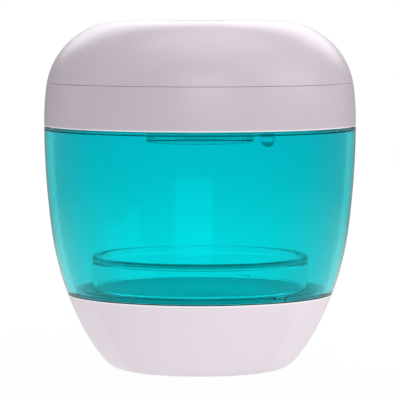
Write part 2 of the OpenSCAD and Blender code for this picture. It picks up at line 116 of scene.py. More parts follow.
# The case's own line, that far in from the outside, between two heights
def outlinePath(inset, low, high, stride=outlineSteps["stride"]):
    near, slack = outlineSteps["near"], outlineSteps["slack"]
    arcs = outlineArcs(caseOutline)
    path = [(0.0, inset)]
    for midR, midZ, radius, start, end, way in arcs[3::-1] + arcs[4:]:
        arc = end - start
        steps = max(outlineSteps["fewest"], int(arc / outlineSteps["turn"]) + 1,
                    int(radius * radians(arc) / stride))
        turns = [start + arc * i / steps for i in range(steps + 1)]
        for turn in turns[::way]:
            r = midR + (radius - inset) * cos(radians(turn))
            z = midZ + way * (radius - inset) * sin(radians(turn))
            if apart((r, z), path[-1]) > near:
                path.append((r, z))
    path.append((0.0, caseOutline["height"] - inset))
    cut = []
    for a, b in zip(path, path[1:]):
        ends = [a, b]
        for level in (low, high):
            if (a[1] - level) * (b[1] - level) < 0:
                share = (level - a[1]) / (b[1] - a[1])
                ends.append((a[0] + share * (b[0] - a[0]), level))
        for point in sorted(ends, key=lambda end: apart(end, a)):
            inside = low - slack <= point[1] <= high + slack
            if inside and (not cut or apart(point, cut[-1]) > near):
                cut.append(point)
    return cut


def outlineAt(inset, z):
    return outlinePath(inset, z - outlineSteps["sliver"], z + outlineSteps["sliver"])[0][0]


# Corners that turn less stay as they are. A rounding takes at most mostShare of a side, and its
# support points stand beyond it by a share of its own size.
cornerRule = {"turn": 22, "mostShare": 0.42, "support": 0.16, "steps": 3, "near": 1e-6}


# Rounds a profile's corners. A point may carry its own radius as a third number. A support point on
# each side of a corner keeps the flats beside it flat when they are shaded smooth.
def softCorners(profile, radius, closed=True, steps=cornerRule["steps"]):
    out = []
    count = len(profile)
    for i, point in enumerate(profile):
        here = Vector(point[:2])
        before = Vector(profile[i - 1][:2]) - here
        after = Vector(profile[(i + 1) % count][:2]) - here
        if not closed and i in (0, count - 1):
            out.append(tuple(here))
            continue
        if min(before.length, after.length) < cornerRule["near"]:
            continue
        if 180 - degrees(before.angle(after)) < cornerRule["turn"]:
            out.append(tuple(here))
            continue
        wanted = point[2] if len(point) > 2 else radius
        most, support = cornerRule["mostShare"], cornerRule["support"]
        back = min(wanted, before.length * most, after.length * most)
        a = here + before.normalized() * back
        b = here + after.normalized() * back
        out.append(tuple(a + before.normalized() * back * support))
        for k in range(steps + 1):
            t = k / steps
            out.append(tuple(a * (1 - t) ** 2 + here * 2 * t * (1 - t) + b * t ** 2))
        out.append(tuple(b + after.normalized() * back * support))
    return out


def finishMesh(name, bm):
    bmesh.ops.recalc_face_normals(bm, faces=bm.faces)
    mesh = bpy.data.meshes.new(name)
    bm.to_mesh(mesh)
    bm.free()
    for face in mesh.polygons:
        face.use_smooth = True
    piece = bpy.data.objects.new(name, mesh)
    bpy.context.scene.collection.objects.link(piece)
    return piece


# A turned piece: the profile of (radius, height) points goes once round an upright axis, and a
# point on the axis becomes one vertex.
def turnPiece(name, profile, closed=True, steps=180, spot=(0, 0), onAxis=1e-5):
    bm = bmesh.new()
    rings = []
    for r, z in profile:
        turns = [2 * pi * k / steps for k in range(steps)] if r > onAxis else [0]
        ring = [((spot[0] + r * cos(t)) * mm, (spot[1] + r * sin(t)) * mm, z * mm) for t in turns]
        rings.append([bm.verts.new(place) for place in ring])
    pairs = list(zip(rings, rings[1:])) + ([(rings[-1], rings[0])] if closed else [])
    for a, b in pairs:
        for k in range(steps if len(a) + len(b) > 2 else 0):
            n = (k + 1) % steps
            if len(a) == 1:
                bm.faces.new((a[0], b[k], b[n]))
            elif len(b) == 1:
                bm.faces.new((a[k], b[0], a[n]))
            else:
                bm.faces.new((a[k], b[k], b[n], a[n]))
    return finishMesh(name, bm)


def turnRounded(name, profile, rounding, closed=True, steps=180, cornerSteps=cornerRule["steps"]):
    return turnPiece(name, softCorners(profile, rounding, closed, cornerSteps), closed, steps)


# The four corners of a plain ring, or of a disc where its inside is 0
def ringProfile(inside, outside, low, top):
    return [(inside, low), (outside, low), (outside, top), (inside, top)]


# A small moulded block with rounded edges, turned about the axis of the case
def mouldedBlock(name, size, middle, corner, spin):
    bm = bmesh.new()
    bmesh.ops.create_cube(bm, size=1)
    for v in bm.verts:
        v.co = Vector((v.co.x * size[0], v.co.y * size[1], v.co.z * size[2]))
    bmesh.ops.bevel(bm, geom=list(bm.edges), offset=corner, segments=2, affect="EDGES", profile=0.5)
    for v in bm.verts:
        p = v.co + Vector(middle)
        v.co = Vector((p.x * cos(spin) - p.y * sin(spin), p.x * sin(spin) + p.y * cos(spin), p.z)) * mm
    return finishMesh(name, bm)


# A bar along Y with rounded corners, from its start backwards
def slotBar(name, wide, tall, height, start, depth, corner, steps=8):
    bm = bmesh.new()
    loop = []
    for sideX, sideZ, first in ((1, 1, 0), (-1, 1, 90), (-1, -1, 180), (1, -1, 270)):
        for k in range(steps + 1):
            turn = radians(first + k * 90 / steps)
            x = sideX * (wide / 2 - corner) + corner * cos(turn)
            z = sideZ * (tall / 2 - corner) + corner * sin(turn)
            loop.append((x, z))
    ends = []
    for y in (start, start + depth):
        ends.append([bm.verts.new((x * mm, y * mm, (height + z) * mm)) for x, z in loop])
    bm.faces.new(ends[0])
    bm.faces.new(ends[1][::-1])
    for k in range(len(loop)):
        n = (k + 1) % len(loop)
        bm.faces.new((ends[0][k], ends[1][k], ends[1][n], ends[0][n]))
    return finishMesh(name, bm)


# Edges that turn more than this stay sharp, in degrees.
sharpTurn = {"cutPiece": 40, "packedPiece": 32}


def shadePiece(piece, turn):
    for face in piece.data.polygons:
        face.use_smooth = True
    piece.data.set_sharp_from_angle(angle=radians(turn))


# Cuts the tool out of the piece, or joins it on, and drops the tool.
def cutOrJoin(piece, tool, operation):
    change = piece.modifiers.new("cut", "BOOLEAN")
    change.operation = operation
    change.object = tool
    change.solver = "EXACT"
    bpy.context.view_layer.update()
    done = bpy.data.meshes.new_from_object(piece.evaluated_get(bpy.context.evaluated_depsgraph_get()))
    piece.modifiers.clear()
    old = piece.data
    piece.data = done
    bpy.data.meshes.remove(old)
    bpy.data.objects.remove(tool)
    shadePiece(piece, sharpTurn["cutPiece"])


def startGroup(name, inputs, outputs):
    group = bpy.data.node_groups.new(name, "ShaderNodeTree")
    for label, kind, value in inputs:
        socket = group.interface.new_socket(name=label, in_out="INPUT", socket_type=kind)
        socket.default_value = value
    for label, kind in outputs:
        group.interface.new_socket(name=label, in_out="OUTPUT", socket_type=kind)
    return group, group.nodes.new("NodeGroupInput"), group.nodes.new("NodeGroupOutput")


def fill(tree, socket, value):
    if isinstance(value, bpy.types.NodeSocket):
        tree.links.new(value, socket)
    else:
        socket.default_value = value


def addMath(tree, operation, a, b, clamp=False):
    node = tree.nodes.new("ShaderNodeMath")
    node.operation = operation
    node.use_clamp = clamp
    fill(tree, node.inputs[0], a)
    fill(tree, node.inputs[1], b)
    return node.outputs[0]


def addNoise(tree, coords, scale, detail, rough):
    node = tree.nodes.new("ShaderNodeTexNoise")
    tree.links.new(coords, node.inputs["Vector"])
    fill(tree, node.inputs["Scale"], scale)
    node.inputs["Detail"].default_value = detail
    node.inputs["Roughness"].default_value = rough
    return node.outputs["Fac"]


# In a colour mix, sockets 6 and 7 are the two colours and output 2 is the mixed one.
def addMix(tree, share, a, b):
    node = tree.nodes.new("ShaderNodeMix")
    node.data_type = "RGBA"
    for key, value in ((0, share), (6, a), (7, b)):
        fill(tree, node.inputs[key], value)
    return node.outputs[2]


def addCoords(tree):
    return tree.nodes.new("ShaderNodeTexCoord").outputs["Object"]


# 0 below one height of the case and 1 above another
def addRise(tree, low, high):
    split = tree.nodes.new("ShaderNodeSeparateXYZ")
    tree.links.new(addCoords(tree), split.inputs[0])
    rise = tree.nodes.new("ShaderNodeMapRange")
    rise.inputs["From Min"].default_value = low * mm
    rise.inputs["From Max"].default_value = high * mm
    tree.links.new(split.outputs["Z"], rise.inputs["Value"])
    return rise.outputs[0]


# A noise is its scale in waves a metre, its detail and its roughness. The fine one's scale follows
# from the size of the grain.
grainLook = {
    "fine": (2.0, 0.6), "pitScale": 1.7, "pitDepth": 0.5,
    "slow": (42.0, 2.0, 0.55), "slowShare": 0.7, "mottle": (260.0, 3.0, 0.6), "mottleShare": 0.3,
    "glintFrom": 0.38, "glintShare": 0.14, "dullFrom": 0.5, "dullShare": 0.18,
}
fullWhite = (1, 1, 1, 1)


# Spark-eroded mould grain, with a slow drift of shade and gloss
def makeMouldedGrain(g):
    tree, given, out = startGroup(
        "mouldedGrain",
        [("Colour", "NodeSocketColor", (0.8, 0.8, 0.8, 1)),
         ("Shade", "NodeSocketColor", (0.7, 0.7, 0.7, 1)),
         ("Roughness", "NodeSocketFloat", 0.5), ("Grain Size", "NodeSocketFloat", 0.3),
         ("Drift", "NodeSocketFloat", 0.3)],
        [("Colour", "NodeSocketColor"), ("Roughness", "NodeSocketFloat"), ("Height", "NodeSocketFloat")])
    coords = addCoords(tree)
    scale = addMath(tree, "DIVIDE", 1 / mm, given.outputs["Grain Size"])
    fine = addNoise(tree, coords, scale, *g["fine"])
    pits = tree.nodes.new("ShaderNodeTexVoronoi")
    tree.links.new(coords, pits.inputs["Vector"])
    tree.links.new(addMath(tree, "MULTIPLY", scale, g["pitScale"]), pits.inputs["Scale"])
    slow = addMath(tree, "MULTIPLY", addNoise(tree, coords, *g["slow"]), g["slowShare"])
    mottle = addMath(tree, "MULTIPLY", addNoise(tree, coords, *g["mottle"]), g["mottleShare"])
    drift = addMath(tree, "ADD", slow, mottle)
    share = addMath(tree, "MULTIPLY", drift, given.outputs["Drift"], True)
    colour = addMix(tree, share, given.outputs["Colour"], given.outputs["Shade"])
    bright = addMath(tree, "SUBTRACT", fine, g["glintFrom"], True)
    glint = addMath(tree, "MULTIPLY", bright, g["glintShare"])
    tree.links.new(addMix(tree, glint, colour, fullWhite), out.inputs["Colour"])
    dull = addMath(tree, "MULTIPLY", addMath(tree, "SUBTRACT", drift, g["dullFrom"]), g["dullShare"])
    tree.links.new(addMath(tree, "ADD", given.outputs["Roughness"], dull), out.inputs["Roughness"])
    depth = addMath(tree, "MULTIPLY", pits.outputs["Distance"], g["pitDepth"])
    tree.links.new(addMath(tree, "ADD", fine, depth), out.inputs["Height"])
    return tree


marksLook = {"wipeStretch": (1, 1, 0.3), "haze": (190.0, 4.0, 0.65), "hazeFrom": 0.45, "wave": (1.0, 0.4)}


# Faint flow waves and wiping haze on polished faces
def makePolishedMarks(m):
    tree, given, out = startGroup(
        "polishedMarks",
        [("Roughness", "NodeSocketFloat", 0.05), ("Haze", "NodeSocketFloat", 0.05),
         ("Wave Size", "NodeSocketFloat", 14.0)],
        [("Roughness", "NodeSocketFloat"), ("Height", "NodeSocketFloat")])
    coords = addCoords(tree)
    wipe = tree.nodes.new("ShaderNodeMapping")
    wipe.inputs["Scale"].default_value = m["wipeStretch"]
    tree.links.new(coords, wipe.inputs["Vector"])
    smear = addNoise(tree, wipe.outputs["Vector"], *m["haze"])
    haze = addMath(tree, "SUBTRACT", smear, m["hazeFrom"], True)
    mask = addMath(tree, "MULTIPLY", haze, given.outputs["Haze"])
    tree.links.new(addMath(tree, "ADD", given.outputs["Roughness"], mask), out.inputs["Roughness"])
    waveScale = addMath(tree, "DIVIDE", 1 / mm, given.outputs["Wave Size"])
    tree.links.new(addNoise(tree, coords, waveScale, *m["wave"]), out.inputs["Height"])
    return tree


wearAndHighlightLook = {"edgeFrom": 0.53, "edgeGain": 9.0, "patches": (900.0, 3.0, 0.6)}


# Edges made lighter, partly as wear from handling and partly as a painted highlight on the edges
def makeWearAndEdgeHighlight(w):
    tree, given, out = startGroup(
        "wearAndEdgeHighlight",
        [("Colour", "NodeSocketColor", (0.5, 0.5, 0.5, 1)),
         ("RubbedAndLit", "NodeSocketColor", (0.8, 0.8, 0.8, 1)),
         ("Amount", "NodeSocketFloat", 0.3)],
        [("Colour", "NodeSocketColor")])
    form = tree.nodes.new("ShaderNodeNewGeometry")
    bend = addMath(tree, "SUBTRACT", form.outputs["Pointiness"], w["edgeFrom"], True)
    edge = addMath(tree, "MULTIPLY", bend, w["edgeGain"], True)
    patchy = addMath(tree, "MULTIPLY", edge, addNoise(tree, addCoords(tree), *w["patches"]))
    mask = addMath(tree, "MULTIPLY", patchy, given.outputs["Amount"], True)
    wornAndLit = addMix(tree, mask, given.outputs["Colour"], given.outputs["RubbedAndLit"])
    tree.links.new(wornAndLit, out.inputs["Colour"])
    return tree


mouldedGrain = makeMouldedGrain(grainLook)
polishedMarks = makePolishedMarks(marksLook)
wearAndEdgeHighlight = makeWearAndEdgeHighlight(wearAndHighlightLook)
print("grain, marks and wear made")


def startFinish(name):
    material = bpy.data.materials.new(name)
    material.use_nodes = True
    return material, material.node_tree, material.node_tree.nodes["Principled BSDF"]


def addGroup(tree, group, values):
    node = tree.nodes.new("ShaderNodeGroup")
    node.node_tree = group
    for key, value in values.items():
        node.inputs[key].default_value = value + (1,) if isinstance(value, tuple) else value
    return node


def addBump(tree, shader, height, depth, strength):
    bump = tree.nodes.new("ShaderNodeBump")
    bump.inputs["Distance"].default_value = depth * mm
    bump.inputs["Strength"].default_value = strength
    tree.links.new(height, bump.inputs["Height"])
    tree.links.new(bump.outputs["Normal"], shader.inputs["Normal"])


# What a moulded finish has where its own look names no other value
plainMoulding = {"drift": 0.3, "wearAndHighlight": 0.25, "depth": 0.02, "milky": 0.0}


# Moulded plastic, rubber or resin: grain is the size of the mould grain, depth and bump its relief.
# Drift is how far the shade wanders, wear how much of the lighter edge colour the edges take, which is
# partly rubbing and partly a painted edge highlight, and milky how much light goes into it. A lip is a
# painted highlight: a band of near-white colour along a parting edge, between two heights.
def mouldedFinish(name, look):
    look = {**plainMoulding, **look}
    material, tree, shader = startFinish(name)
    grain = addGroup(tree, mouldedGrain, {
        "Colour": look["colour"], "Shade": look["shade"], "Roughness": look["rough"],
        "Grain Size": look["grain"], "Drift": look["drift"]})
    # The edges take a lighter colour, partly wear and partly a painted edge highlight.
    rubbedAndLit = {"RubbedAndLit": look.get("rubbedAndLit", look["colour"]), "Amount": look["wearAndHighlight"]}
    wearAndHighlight = addGroup(tree, wearAndEdgeHighlight, rubbedAndLit)
    tree.links.new(grain.outputs["Colour"], wearAndHighlight.inputs["Colour"])
    colour = wearAndHighlight.outputs["Colour"]
    # Near-white colour along a parting edge, between two heights: a painted highlight.
    if "paintedLipHighlight" in look:
        low, high, bright = look["paintedLipHighlight"]
        colour = addMix(tree, addRise(tree, low, high), colour, bright + (1,))
    tree.links.new(colour, shader.inputs["Base Color"])
    tree.links.new(grain.outputs["Roughness"], shader.inputs["Roughness"])
    addBump(tree, shader, grain.outputs["Height"], look["depth"], look["bump"])
    shader.inputs["Subsurface Weight"].default_value = look["milky"]
    shader.inputs["Subsurface Scale"].default_value = mm
    return material


# Haze is how dull the wiping marks are, and wave the size of the flow waves.
def addMarks(tree, look):
    return addGroup(tree, polishedMarks, {
        "Roughness": look["rough"], "Haze": look["haze"], "Wave Size": look["wave"]})


metalGrain = 0.4  # size of the specks of shade in a metal


def metalFinish(name, look):
    material, tree, shader = startFinish(name)
    marks = addMarks(tree, look)
    specks = {"Colour": look["colour"], "Shade": look["shade"], "Grain Size": metalGrain}
    grain = addGroup(tree, mouldedGrain, specks)
    tree.links.new(grain.outputs["Colour"], shader.inputs["Base Color"])
    tree.links.new(marks.outputs["Roughness"], shader.inputs["Roughness"])
    addBump(tree, shader, marks.outputs["Height"], look["depth"], look["bump"])
    shader.inputs["Metallic"].default_value = 1.0
    return material


# 1 on the outside of a clear rim, where its dark tint is painted shade: above one height, beyond one
# radius and only seen from outside
def addPaintedRimShade(tree, band):
    flat = tree.nodes.new("ShaderNodeVectorMath")
    flat.operation = "MULTIPLY"
    flat.inputs[1].default_value = (1, 1, 0)
    tree.links.new(addCoords(tree), flat.inputs[0])
    reach = tree.nodes.new("ShaderNodeVectorMath")
    reach.operation = "LENGTH"
    tree.links.new(flat.outputs[0], reach.inputs[0])
    outer = addMath(tree, "GREATER_THAN", reach.outputs["Value"], band["beyond"] * mm)
    inside = tree.nodes.new("ShaderNodeNewGeometry").outputs["Backfacing"]
    high = addMath(tree, "MULTIPLY", outer, addRise(tree, band["low"], band["low"] + band["fade"]))
    return addMath(tree, "MULTIPLY", high, addMath(tree, "SUBTRACT", 1.0, inside))


# Clear plastic: tint is what one wall lets through, gleam the colour of what it reflects face on.
# Each level blends in another tint between two heights; in the window the levels darken the tint
# towards the lid, which is painted shade. The edge tint stands for the longer way that light takes
# through a wall seen edge on.
def clearFinish(name, look):
    material, tree, shader = startFinish(name)
    marks = addMarks(tree, look)
    tint = look["tint"] + (1,)
    # Tints blended in by height; in the window they darken towards the lid as painted shade.
    for low, high, other in look.get("paintedShadeLevels", []):
        tint = addMix(tree, addRise(tree, low, high), tint, other + (1,))
    if "edgeTint" in look:
        edge = tree.nodes.new("ShaderNodeLayerWeight")
        edge.inputs["Blend"].default_value = look["edgeBlend"]
        tint = addMix(tree, edge.outputs["Facing"], tint, look["edgeTint"] + (1,))
    # A dark tint on the rim's outside: painted shade for the dark that the rounded rim bends into view.
    if "paintedRimShade" in look:
        tint = addMix(tree, addPaintedRimShade(tree, look["paintedRimShade"]), tint, look["paintedRimShade"]["tint"] + (1,))
    fill(tree, shader.inputs["Base Color"], tint)
    tree.links.new(marks.outputs["Roughness"], shader.inputs["Roughness"])
    addBump(tree, shader, marks.outputs["Height"], look["depth"], look["bump"])
    shader.inputs["Transmission Weight"].default_value = 1.0
    shader.inputs["IOR"].default_value = look["ior"]
    shader.inputs["Specular Tint"].default_value = look.get("gleam", (1, 1, 1)) + (1,)
    return material


finishes = {
    # The lid and the base take a darker and a lighter copy of the lilac plastic: the difference is partly a
    # paler pearl moulding on the base and partly painted light, with the base lit from below and the lid
    # shaded.
    "lid_plastic": mouldedFinish("lilacLidShadedCopy", {
        # The lighter edge colour is partly wear and partly a painted edge highlight.
        "colour": (0.640, 0.556, 0.632), "shade": (0.580, 0.505, 0.566), "rubbedAndLit": (0.75, 0.70, 0.75),
        # Near-white band on the lid band's lower edge: a painted highlight.
        "paintedLipHighlight": (63.05, 62.8, (0.97, 0.98, 1.0)),
        "rough": 0.32, "grain": 0.28, "bump": 0.15, "drift": 0.35}),
    "base_plastic": mouldedFinish("pearlBaseLitCopy", {
        # The lighter edge colour is partly wear and partly a painted edge highlight.
        "colour": (0.870, 0.780, 0.850), "shade": (0.820, 0.730, 0.800), "rubbedAndLit": (0.90, 0.86, 0.90),
        # Near-white band on the base's top rim: a painted highlight.
        "paintedLipHighlight": (19.0, 19.15, (0.98, 0.98, 0.98)),
        "rough": 0.32, "grain": 0.28, "bump": 0.15, "drift": 0.35}),
    "window_plastic": clearFinish("tealWindow", {
        "tint": (0.014, 0.860, 0.890),
        # The window's tint darkens towards the lid: painted shade.
        "paintedShadeLevels": [(22, 44, (0.010, 0.765, 0.790)), (40, 62, (0.008, 0.705, 0.770))],
        "edgeTint": (0.02, 0.50, 0.53), "edgeBlend": 0.45, "gleam": (0.02, 0.80, 0.83),
        "rough": 0.02, "haze": 0.12, "wave": 16.0, "depth": 0.05, "bump": 0.05, "ior": 1.49}),
    "stand_plastic": clearFinish("clearStandPlastic", {
        "tint": (0.97, 0.98, 0.98),
        # Dark tint on the rim's outside: painted shade.
        "paintedRimShade": {"low": 28.1, "fade": 0.1, "beyond": 27.0, "tint": (0.20, 0.22, 0.22)},
        "gleam": (0.8, 0.9, 0.9),
        "rough": 0.02, "haze": 0.08, "wave": 14.0, "depth": 0.03, "bump": 0.02, "ior": 1.38}),
    "lens_glass": clearFinish("clearLampCover", {
        "tint": (0.96, 0.98, 0.98),
        "rough": 0.01, "haze": 0.04, "wave": 6.0, "depth": 0.02, "bump": 0.03, "ior": 1.28}),
    "light_plastic": mouldedFinish("milkyRing", {
        "colour": (0.83, 0.84, 0.86), "shade": (0.76, 0.77, 0.80), "rough": 0.30, "grain": 0.2, "bump": 0.1,
        "milky": 0.2}),
    "inner_plastic": mouldedFinish("ceilingWhite", {
        "colour": (0.80, 0.81, 0.82), "shade": (0.72, 0.73, 0.75),
        "rough": 0.32, "grain": 0.35, "bump": 0.15}),
    "floor_plastic": mouldedFinish("floorGrey", {
        "colour": (0.80, 0.82, 0.83), "shade": (0.72, 0.74, 0.75),
        "rough": 0.35, "grain": 0.35, "bump": 0.15}),
    "disc_metal": metalFinish("satinDisc", {
        "colour": (0.41, 0.42, 0.43), "shade": (0.36, 0.37, 0.38), "rough": 0.55, "haze": 0.25,
        "wave": 12.0, "depth": 0.05, "bump": 0.12}),
    "reflector_metal": metalFinish("reflectorAluminium", {
        "colour": (0.82, 0.83, 0.84), "shade": (0.74, 0.75, 0.77), "rough": 0.10, "haze": 0.15, "wave": 5.0,
        "depth": 0.03, "bump": 0.1}),
    "gasket_rubber": mouldedFinish("gasketBlack", {
        "colour": (0.022, 0.024, 0.027), "shade": (0.012, 0.013, 0.015), "rough": 0.6, "grain": 0.15,
        "bump": 0.3}),
    "seal_silicone": mouldedFinish("sealMilky", {
        "colour": (0.74, 0.75, 0.76), "shade": (0.66, 0.67, 0.69), "rough": 0.5, "grain": 0.2, "bump": 0.2,
        "milky": 0.15}),
    "foot_silicone": mouldedFinish("footLilac", {
        "colour": (0.70, 0.62, 0.68), "shade": (0.62, 0.55, 0.61),
        "rough": 0.6, "grain": 0.25, "bump": 0.3}),
    "screw_steel": metalFinish("screwSteel", {
        "colour": (0.60, 0.61, 0.62), "shade": (0.48, 0.49, 0.50), "rough": 0.28, "haze": 0.3, "wave": 1.0,
        "depth": 0.02, "bump": 0.15}),
    "board_laminate": mouldedFinish("boardGreen", {
        "colour": (0.020, 0.150, 0.070), "shade": (0.012, 0.095, 0.045), "rough": 0.35, "grain": 0.6,
        "bump": 0.25, "drift": 0.8}),
    "lamp_board_metal": mouldedFinish("lampBoardWhite", {
        "colour": (0.80, 0.80, 0.79), "shade": (0.71, 0.71, 0.70),
        "rough": 0.35, "grain": 0.5, "bump": 0.15}),
    "chip_resin": mouldedFinish("chipBlack", {
        "colour": (0.020, 0.020, 0.022), "shade": (0.035, 0.035, 0.038), "rough": 0.5, "grain": 0.12,
        "bump": 0.3}),
    "diode_ceramic": mouldedFinish("diodeCream", {
        "colour": (0.74, 0.62, 0.30), "shade": (0.66, 0.52, 0.22),
        "rough": 0.3, "grain": 0.2, "bump": 0.1}),
    "socket_steel": metalFinish("socketSteel", {
        "colour": (0.62, 0.63, 0.64), "shade": (0.50, 0.51, 0.52), "rough": 0.24, "haze": 0.3, "wave": 2.0,
        "depth": 0.02, "bump": 0.1}),
    "cell_foil": metalFinish("cellFoil", {
        "colour": (0.56, 0.61, 0.66), "shade": (0.46, 0.50, 0.55), "rough": 0.33, "haze": 0.3, "wave": 3.0,
        "depth": 0.15, "bump": 0.35}),
    "foam": mouldedFinish("foamTape", {
        "colour": (0.78, 0.78, 0.75), "shade": (0.66, 0.66, 0.63), "rough": 0.9, "grain": 0.4, "depth": 0.1,
        "bump": 0.6}),
    "lead_jacket": mouldedFinish("leadRed", {
        "colour": (0.40, 0.012, 0.010), "shade": (0.30, 0.008, 0.008), "rough": 0.45, "grain": 0.2,
        "bump": 0.15}),
    "button_plastic": mouldedFinish("buttonPearl", {
        "colour": (0.80, 0.73, 0.79), "shade": (0.73, 0.66, 0.72),
        "rough": 0.33, "grain": 0.22, "bump": 0.15}),
}
print("finishes mixed:", len(finishes))


# Gives the piece its finish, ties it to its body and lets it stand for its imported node.
def dress(piece, body, slot, node):
    piece.data.materials.clear()
    piece.data.materials.append(finishes[slot])
    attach(piece, body)
    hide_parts(node)


domeShape = {"gap": 0.05, "wall": 2.0, "skirtOut": 37.5, "skirtWall": 1.4, "skirtDrop": 3.9, "skirtUp": 1.9,
             "hole": 8.4, "holeRim": 0.3, "lipRound": 0.3, "round": 0.2,
             "slot": {"wide": 10.4, "tall": 4.6, "start": 34, "depth": 4.5, "corner": 2.0}}
bandShape = {"domeSeam": 73.7, "neckRoom": 38.6, "shelf": 67.6, "shelfTop": 68.8, "shelfIn": 29.0,
             "upperIn": 37.6, "topRound": 0.35, "lipRound": 0.25, "round": 0.2,
             "slot": {"wide": 9.8, "tall": 4.0, "start": 36, "depth": 5, "corner": 1.8}}
slotHeight = 71.2  # middle of the charging slot


# The slot goes through both shells at the back.
def cutSlot(shell, slot):
    cutOrJoin(shell, slotBar("slotTool", height=slotHeight, **slot), "DIFFERENCE")


def makeDome(d, seam):
    top, farEnough = caseOutline["height"], d["hole"] + d["holeRim"]
    outside = [p for p in outlinePath(0, seam + d["gap"], top) if p[0] > farEnough]
    inside = [p for p in outlinePath(d["wall"], seam + d["skirtUp"], top) if p[0] > farEnough]
    skirtIn, skirtLow = d["skirtOut"] - d["skirtWall"], seam - d["skirtDrop"]
    profile = [outside[0] + (d["lipRound"],)] + outside[1:]
    profile += [(d["hole"], top), (d["hole"], top - d["wall"])] + inside[::-1]
    profile += [(skirtIn, seam + d["skirtUp"]), (skirtIn, skirtLow), (d["skirtOut"], skirtLow),
                (d["skirtOut"], seam + d["gap"])]
    dome = turnRounded("domeShell", profile, d["round"])
    cutSlot(dome, d["slot"])
    dress(dome, "lid", "lid_plastic", "top_cover")


def makeBand(b):
    low = span("lid_band")[1]
    outside = outlinePath(0, low, b["domeSeam"])
    profile = [outside[0] + (b["lipRound"],)] + outside[1:-1] + [outside[-1] + (b["topRound"],)]
    profile += [(b["upperIn"], b["domeSeam"]), (b["upperIn"], b["shelfTop"]), (b["shelfIn"], b["shelfTop"]),
                (b["shelfIn"], b["shelf"]), (b["neckRoom"], b["shelf"]), (b["neckRoom"], low)]
    band = turnRounded("lidBandShell", profile, b["round"])
    cutSlot(band, b["slot"])
    dress(band, "lid", "lid_plastic", "lid_band")


makeDome(domeShape, bandShape["domeSeam"])
makeBand(bandShape)

lidSealShape = {"in": 37.0, "lipIn": 37.2, "lipOut": 37.8, "lipHigh": 0.3, "round": 0.15}


def makeLidSeal(s):
    out, low, top = span("lid_seal")
    body = low + s["lipHigh"]
    profile = [(s["in"], body), (s["lipIn"], body), (s["lipIn"], low), (s["lipOut"], low),
               (s["lipOut"], body), (out, body), (out, top), (s["in"], top)]
    dress(turnRounded("lidSealRing", profile, s["round"]), "lid", "seal_silicone", "lid_seal")


makeLidSeal(lidSealShape)

ceilingShape = {"thick": 1.5, "rimWall": 1.4, "coverHole": 13.9, "sensorSpot": (17.3, -4.0),
                "sensorHole": 1.9, "drillBeyond": 1, "round": 0.35}
lampCoverShape = {"radius": 13.8, "wall": 1.2, "flangeUp": 5.4, "edgeRound": 0.3, "round": 0.2}
sensorNoseShape = {"radius": 1.8, "flange": 2.4, "flangeHigh": 0.3, "noseSteps": 9}


def makeCeiling(c):
    rim, low, top = span("ceiling_plate")
    plate, rimIn = low + c["thick"], rim - c["rimWall"]
    profile = [(c["coverHole"], low), (rim, low), (rim, top), (rimIn, top), (rimIn, plate),
               (c["coverHole"], plate)]
    ceiling = turnRounded("ceilingPlate", profile, c["round"])
    bore = ringProfile(0, c["sensorHole"], low - c["drillBeyond"], plate + c["drillBeyond"])
    drill = turnPiece("sensorDrill", bore, closed=False, steps=40, spot=c["sensorSpot"])
    cutOrJoin(ceiling, drill, "DIFFERENCE")
    dress(ceiling, "lid", "inner_plastic", "ceiling_plate")


def makeLampCover(c):
    flange, low, top = span("lamp_lens")
    inner, seat = c["radius"] - c["wall"], low + c["flangeUp"]
    profile = [(0, low), (c["radius"], low, c["edgeRound"]), (c["radius"], seat), (flange, seat),
               (flange, top), (inner, top), (inner, low + c["wall"], c["edgeRound"]),
               (0, low + c["wall"])]
    cover = turnRounded("lampCover", profile, c["round"], closed=False, steps=120)
    dress(cover, "lid", "lens_glass", "lamp_lens")


def makeSensorNose(s, spot):
    low, top = span("sensor_lens")[1:]
    collar = top - s["flangeHigh"]
    turns = [radians(90 * k / s["noseSteps"]) for k in range(1, s["noseSteps"] + 1)]
    profile = [(0, low)] + [(s["radius"] * sin(t), low + s["radius"] * (1 - cos(t))) for t in turns]
    profile += [(s["radius"], collar), (s["flange"], collar), (s["flange"], top), (0, top)]
    nose = turnPiece("sensorNose", profile, closed=False, steps=40, spot=spot)
    dress(nose, "lid", "lens_glass", "sensor_lens")


makeCeiling(ceilingShape)
makeLampCover(lampCoverShape)
makeSensorNose(sensorNoseShape, ceilingShape["sensorSpot"])

buttonShape = {"radius": 6.4, "flange": 7.4, "flangeLow": 86.7, "flangeHigh": 0.7, "stem": 1.6,
               "dish": 0.12, "dishIn": 0.6, "dishSteps": 5, "rimRound": 0.4, "round": 0.15}
lightRingShape = {"in": 6.7, "out": 8.3, "step": 1.2, "collar": 9.9, "collarHigh": 0.8, "tube": 8.5,
                  "round": 0.2}


def makePushButton(b):
    low, top = span("power_button")[1:]
    shares = [k / b["dishSteps"] for k in range(b["dishSteps"], -1, -1)]
    dish = [(share * (b["radius"] - b["dishIn"]), top - b["dish"] * (1 - share ** 2)) for share in shares]
    flangeTop = b["flangeLow"] + b["flangeHigh"]
    profile = [(0, low), (b["stem"], low), (b["stem"], b["flangeLow"]), (b["flange"], b["flangeLow"]),
               (b["flange"], flangeTop), (b["radius"], flangeTop), (b["radius"], top, b["rimRound"])] + dish
    cap = turnRounded("pushButtonCap", profile, b["round"], closed=False, steps=120)
    dress(cap, "button", "button_plastic", "power_button")


